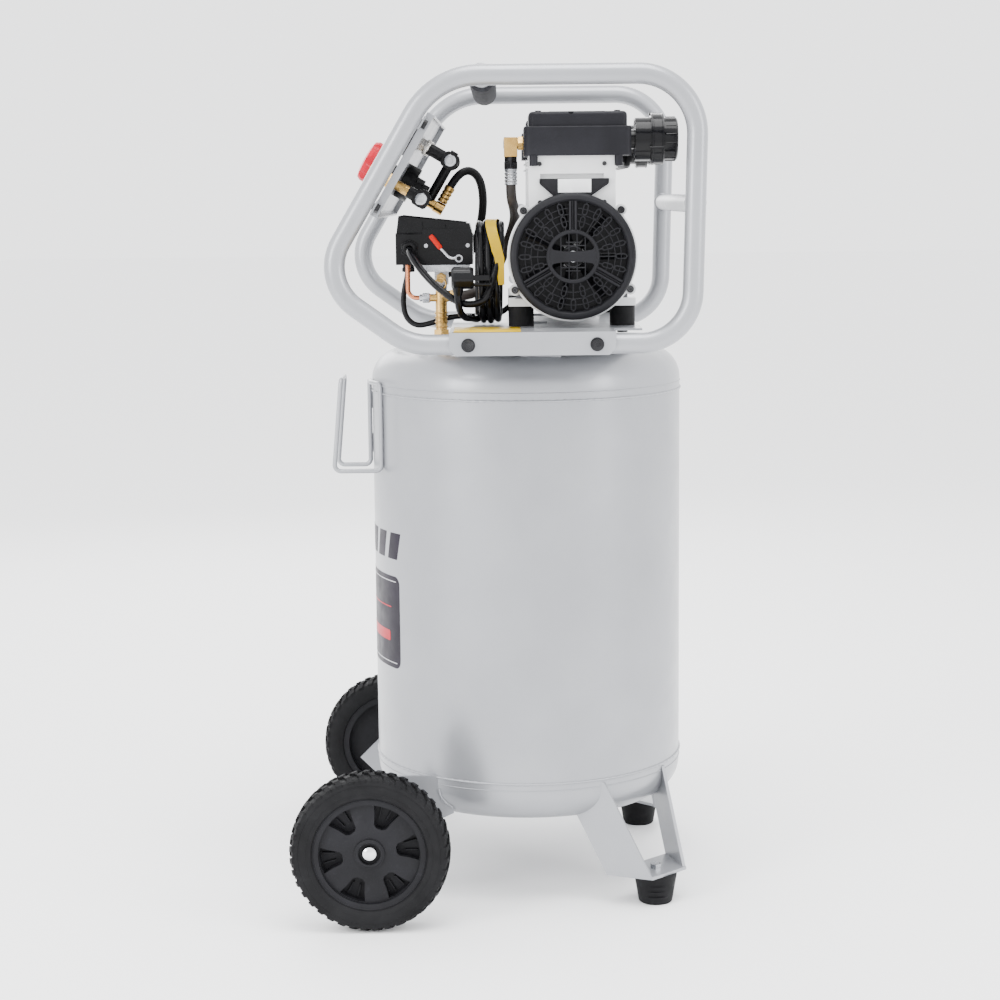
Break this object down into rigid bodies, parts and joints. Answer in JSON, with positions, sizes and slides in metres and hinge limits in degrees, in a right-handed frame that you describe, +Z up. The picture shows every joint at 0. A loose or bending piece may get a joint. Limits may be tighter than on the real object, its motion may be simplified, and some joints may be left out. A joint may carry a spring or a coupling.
{
  "type": "vertical tank compressor",
  "caption": "Upright wheeled air compressor: welded tank, tube cage, twin-cylinder pump with fans, pressure switch, sloping control panel and a hanked mains lead.",
  "frame": {"origin": "middle of the underside of the object's box without its cords, on the floor", "axes": "+Z up, along the tank's axis; -X is the front with the control panel and the wheels"},
  "size_m": [0.523, 0.588, 1.074],
  "materials": {
    "tank_shell": "satin paint",
    "tank_top_head": "satin paint",
    "tank_bottom_head": "satin paint",
    "axle_brackets": "satin paint",
    "axle": "zinc plated",
    "axle_caps": "polished",
    "wheel_near_tyre": "ribbed",
    "wheel_near_hub": "moulded",
    "wheel_far_tyre": "ribbed",
    "wheel_far_hub": "moulded",
    "leg_brackets": "satin paint",
    "rubber_feet": "moulded",
    "foot_bolts": "zinc plated",
    "hose_hook": "satin paint",
    "drain_valve": "machined",
    "drain_wing": "machined",
    "cage_near": "satin paint",
    "cage_far": "satin paint",
    "cage_crossbars": "satin paint",
    "handle_grip": "moulded",
    "deck": "satin paint",
    "deck_saddle": "satin paint",
    "deck_bolts": "zinc plated",
    "control_panel": "satin paint",
    "regulator_body": "moulded",
    "regulator_knob": "moulded",
    "manifold": "satin paint",
    "gauge_cases": "satin paint",
    "gauge_lenses": "clear",
    "tank_gauge_needle": "moulded",
    "outlet_gauge_needle": "moulded",
    "couplers": "machined",
    "coupler_sleeve_near": "machined",
    "coupler_sleeve_far": "machined",
    "switch_base": "moulded",
    "switch_cover": "moulded",
    "switch_lever": "zinc plated",
    "switch_pipe": "zinc plated",
    "relief_valve": "machined",
    "relief_ring": "zinc plated",
    "check_valve": "machined",
    "unloader_tube": "machined",
    "discharge_hose": "moulded",
    "hose_fittings": "machined",
    "regulator_hose": "moulded",
    "motor_cable": "moulded",
    "power_cord_lead": "moulded",
    "power_cord_coil": "moulded",
    "power_plug": "moulded",
    "crankcases": "cast, painted",
    "fan_covers": "moulded",
    "cooling_fans": "moulded",
    "rotor": "zinc plated",
    "motor_shell": "cast, painted",
    "stator": "zinc plated",
    "running_gear": "cast, painted",
    "cylinder_heads": "cast, painted",
    "head_lids": "moulded",
    "air_filters": "moulded",
    "isolators": "moulded"
  },
  "bodies": {
    "root": {"tank_shell": "tank_shell", "tank_top_head": "tank_top_head", "tank_bottom_head": "tank_bottom_head", "axle_brackets": "axle_brackets", "axle": "axle", "axle_caps": "axle_caps", "leg_brackets": "leg_brackets", "rubber_feet": "rubber_feet", "foot_bolts": "foot_bolts", "hose_hook": "hose_hook", "drain_valve": "drain_valve", "cage_near": "cage_near", "cage_far": "cage_far", "cage_crossbars": "cage_crossbars", "handle_grip": "handle_grip", "deck": "deck", "deck_saddle": "deck_saddle", "deck_bolts": "deck_bolts", "control_panel": "control_panel", "regulator_body": "regulator_body", "manifold": "manifold", "gauge_cases": "gauge_cases", "gauge_lenses": "gauge_lenses", "couplers": "couplers", "switch_base": "switch_base", "switch_cover": "switch_cover", "switch_pipe": "switch_pipe", "relief_valve": "relief_valve", "check_valve": "check_valve", "unloader_tube": "unloader_tube", "discharge_hose": "discharge_hose", "hose_fittings": "hose_fittings", "regulator_hose": "regulator_hose", "motor_cable": "motor_cable", "power_cord_lead": "power_cord_lead", "power_cord_coil": "power_cord_coil", "power_plug": "power_plug", "crankcases": "crankcases", "fan_covers": "fan_covers", "motor_shell": "motor_shell", "stator": "stator", "running_gear": "running_gear", "cylinder_heads": "cylinder_heads", "head_lids": "head_lids", "air_filters": "air_filters", "isolators": "isolators"},
    "near_wheel": {"wheel_near_tyre": "wheel_near_tyre", "wheel_near_hub": "wheel_near_hub"},
    "far_wheel": {"wheel_far_tyre": "wheel_far_tyre", "wheel_far_hub": "wheel_far_hub"},
    "motor_rotor": {"rotor": "rotor", "cooling_fans": "cooling_fans"},
    "lever": {"switch_lever": "switch_lever"},
    "knob": {"regulator_knob": "regulator_knob"},
    "tank_needle": {"tank_gauge_needle": "tank_gauge_needle"},
    "outlet_needle": {"outlet_gauge_needle": "outlet_gauge_needle"},
    "near_sleeve": {"coupler_sleeve_near": "coupler_sleeve_near"},
    "far_sleeve": {"coupler_sleeve_far": "coupler_sleeve_far"},
    "ring": {"relief_ring": "relief_ring"},
    "wing": {"drain_wing": "drain_wing"}
  },
  "joints": [
    {"name": "wheel_near_spin", "type": "hinge", "parent": "root", "child": "near_wheel", "pos_m": [-0.15989, -0.27, 0.1016], "axis": [0, 1, 0], "continuous": true},
    {"name": "wheel_far_spin", "type": "hinge", "parent": "root", "child": "far_wheel", "pos_m": [-0.15989, 0.27, 0.1016], "axis": [0, 1, 0], "continuous": true},
    {"name": "motor_spin", "type": "hinge", "parent": "root", "child": "motor_rotor", "pos_m": [0.10061, 0, 0.8385], "axis": [0, 1, 0], "continuous": true},
    {"name": "switch_lever_turn", "type": "hinge", "parent": "root", "child": "lever", "pos_m": [-0.04289, -0.086, 0.834], "axis": [0, 1, 0], "range_deg": [0, 40]},
    {"name": "regulator_knob_turn", "type": "hinge", "parent": "root", "child": "knob", "pos_m": [-0.1494, 0, 0.95413], "axis": [-0.8616, 0, 0.5075], "range_deg": [-720, 720]},
    {"name": "tank_gauge_needle_turn", "type": "hinge", "parent": "root", "child": "tank_needle", "pos_m": [-0.10613, 0.034, 0.99016], "axis": [-0.8616, 0, 0.5075], "range_deg": [-270, 0], "stiffness_Nm_per_rad": 0.0005},
    {"name": "outlet_gauge_needle_turn", "type": "hinge", "parent": "root", "child": "outlet_needle", "pos_m": [-0.10613, -0.034, 0.99016], "axis": [-0.8616, 0, 0.5075], "range_deg": [-270, 0], "stiffness_Nm_per_rad": 0.0005},
    {"name": "coupler_sleeve_near_slide", "type": "slide", "parent": "root", "child": "near_sleeve", "axis": [-0.8616, 0, 0.5075], "range_m": [-0.004, 0], "stiffness_N_per_m": 1500},
    {"name": "coupler_sleeve_far_slide", "type": "slide", "parent": "root", "child": "far_sleeve", "axis": [-0.8616, 0, 0.5075], "range_m": [-0.004, 0], "stiffness_N_per_m": 1500},
    {"name": "relief_ring_pull", "type": "slide", "parent": "root", "child": "ring", "axis": [0, -1, 0], "range_m": [0, 0.004], "stiffness_N_per_m": 800},
    {"name": "drain_wing_turn", "type": "hinge", "parent": "root", "child": "wing", "pos_m": [0.04311, 0, 0.075], "axis": [0, 0, 1], "range_deg": [0, 720]}
  ]
}
